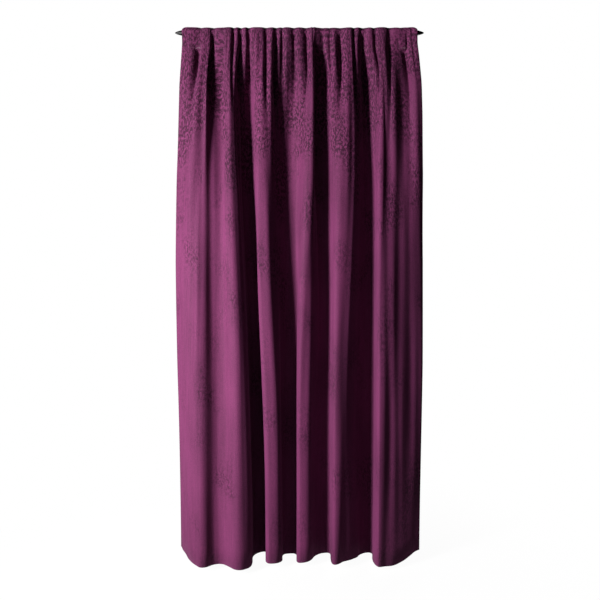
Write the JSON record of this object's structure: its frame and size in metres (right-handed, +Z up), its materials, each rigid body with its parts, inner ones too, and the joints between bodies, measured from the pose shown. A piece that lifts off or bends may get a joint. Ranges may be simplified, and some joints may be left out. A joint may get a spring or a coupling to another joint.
{
  "type": "curtain panel on pole",
  "caption": "Floor-length velvet curtain panel gathered by its rod pocket along a round black pole with pointed finials, on wall brackets.",
  "frame": {"origin": "on the wall plane, at the height of the pole's axis, midway between the two brackets", "axes": "+X along the pole to the right seen from the room, +Y into the wall, +Z up"},
  "size_m": [1.1466, 0.1875, 2.4563],
  "materials": {
    "velvet": "plum crushed-pile velvet, matte with a soft sheen",
    "black_metal": "satin black powder coat",
    "screw_steel": "black oxide",
    "label": "plain woven satin, blank"
  },
  "bodies": {
    "wall_brackets": {"wall_plate_left": "black_metal", "wall_plate_right": "black_metal", "arm_grub_screw_left": "screw_steel", "arm_grub_screw_right": "screw_steel", "bracket_arm_left": "black_metal", "bracket_arm_right": "black_metal"},
    "pole_lock_screw_left": {"pole_lock_screw_left": "screw_steel"},
    "pole_lock_screw_right": {"pole_lock_screw_right": "screw_steel"},
    "pole": {"pole_tube": "black_metal"},
    "finial_left": {"finial_left": "black_metal"},
    "finial_right": {"finial_right": "black_metal"},
    "curtain": {"rod_pocket": "velvet", "side_hem_fixed": "velvet"},
    "fold_01": {"fold_01": "velvet", "care_label": "label"},
    "fold_02": {"fold_02": "velvet"},
    "fold_03": {"fold_03": "velvet"},
    "fold_04": {"fold_04": "velvet"},
    "fold_05": {"fold_05": "velvet"},
    "fold_06": {"fold_06": "velvet"},
    "fold_07": {"fold_07": "velvet"},
    "fold_08": {"fold_08": "velvet"},
    "fold_09": {"fold_09": "velvet"},
    "fold_10": {"fold_10": "velvet"},
    "fold_11": {"fold_11": "velvet"},
    "fold_12": {"fold_12": "velvet"}
  },
  "joints": [
    {"name": "pole_lift_out", "type": "slide", "parent": "wall_brackets", "child": "pole", "axis": [0, 0, 1], "range_m": [0, 0.04]},
    {"name": "lock_screw_left_turn", "type": "hinge", "parent": "wall_brackets", "child": "pole_lock_screw_left", "pos_m": [-0.47, -0.11, 0], "axis": [0, 0, -1], "range_deg": [0, 720]},
    {"name": "lock_screw_right_turn", "type": "hinge", "parent": "wall_brackets", "child": "pole_lock_screw_right", "pos_m": [0.47, -0.11, 0], "axis": [0, 0, -1], "range_deg": [0, 720]},
    {"name": "finial_left_pull_off", "type": "slide", "parent": "pole", "child": "finial_left", "axis": [-1, 0, 0], "range_m": [0, 0.03]},
    {"name": "finial_right_pull_off", "type": "slide", "parent": "pole", "child": "finial_right", "axis": [1, 0, 0], "range_m": [0, 0.03]},
    {"name": "curtain_swing", "type": "hinge", "parent": "pole", "child": "curtain", "pos_m": [0, -0.11, 0], "axis": [-1, 0, 0], "range_deg": [-0.5, 12]},
    {"name": "curtain_draw", "type": "hinge", "parent": "curtain", "child": "fold_01", "pos_m": [-0.56, -0.04096, -1.25], "axis": [0, 0, -1], "range_deg": [0, 24], "deforming": ["rod_pocket"]},
    {"name": "fold_02_hinge", "type": "hinge", "parent": "fold_01", "child": "fold_02", "pos_m": [-0.46667, -0.17904, -1.25], "axis": [0, 0, 1], "range_deg": [0, 48]},
    {"name": "fold_03_hinge", "type": "hinge", "parent": "fold_02", "child": "fold_03", "pos_m": [-0.37333, -0.04096, -1.25], "axis": [0, 0, -1], "range_deg": [0, 48]},
    {"name": "fold_04_hinge", "type": "hinge", "parent": "fold_03", "child": "fold_04", "pos_m": [-0.28, -0.17904, -1.25], "axis": [0, 0, 1], "range_deg": [0, 48]},
    {"name": "fold_05_hinge", "type": "hinge", "parent": "fold_04", "child": "fold_05", "pos_m": [-0.18667, -0.04096, -1.25], "axis": [0, 0, -1], "range_deg": [0, 48]},
    {"name": "fold_06_hinge", "type": "hinge", "parent": "fold_05", "child": "fold_06", "pos_m": [-0.09333, -0.17904, -1.25], "axis": [0, 0, 1], "range_deg": [0, 48]},
    {"name": "fold_07_hinge", "type": "hinge", "parent": "fold_06", "child": "fold_07", "pos_m": [0, -0.04096, -1.25], "axis": [0, 0, -1], "range_deg": [0, 48]},
    {"name": "fold_08_hinge", "type": "hinge", "parent": "fold_07", "child": "fold_08", "pos_m": [0.09333, -0.17904, -1.25], "axis": [0, 0, 1], "range_deg": [0, 48]},
    {"name": "fold_09_hinge", "type": "hinge", "parent": "fold_08", "child": "fold_09", "pos_m": [0.18667, -0.04096, -1.25], "axis": [0, 0, -1], "range_deg": [0, 48]},
    {"name": "fold_10_hinge", "type": "hinge", "parent": "fold_09", "child": "fold_10", "pos_m": [0.28, -0.17904, -1.25], "axis": [0, 0, 1], "range_deg": [0, 48]},
    {"name": "fold_11_hinge", "type": "hinge", "parent": "fold_10", "child": "fold_11", "pos_m": [0.37333, -0.04096, -1.25], "axis": [0, 0, -1], "range_deg": [0, 48]},
    {"name": "fold_12_hinge", "type": "hinge", "parent": "fold_11", "child": "fold_12", "pos_m": [0.46667, -0.17904, -1.25], "axis": [0, 0, 1], "range_deg": [0, 48]}
  ],
  "couplings": [
    {"joint": "fold_02_hinge", "follows": "curtain_draw", "ratio": 2},
    {"joint": "fold_03_hinge", "follows": "curtain_draw", "ratio": 2},
    {"joint": "fold_04_hinge", "follows": "curtain_draw", "ratio": 2},
    {"joint": "fold_05_hinge", "follows": "curtain_draw", "ratio": 2},
    {"joint": "fold_06_hinge", "follows": "curtain_draw", "ratio": 2},
    {"joint": "fold_07_hinge", "follows": "curtain_draw", "ratio": 2},
    {"joint": "fold_08_hinge", "follows": "curtain_draw", "ratio": 2},
    {"joint": "fold_09_hinge", "follows": "curtain_draw", "ratio": 2},
    {"joint": "fold_10_hinge", "follows": "curtain_draw", "ratio": 2},
    {"joint": "fold_11_hinge", "follows": "curtain_draw", "ratio": 2},
    {"joint": "fold_12_hinge", "follows": "curtain_draw", "ratio": 2}
  ]
}
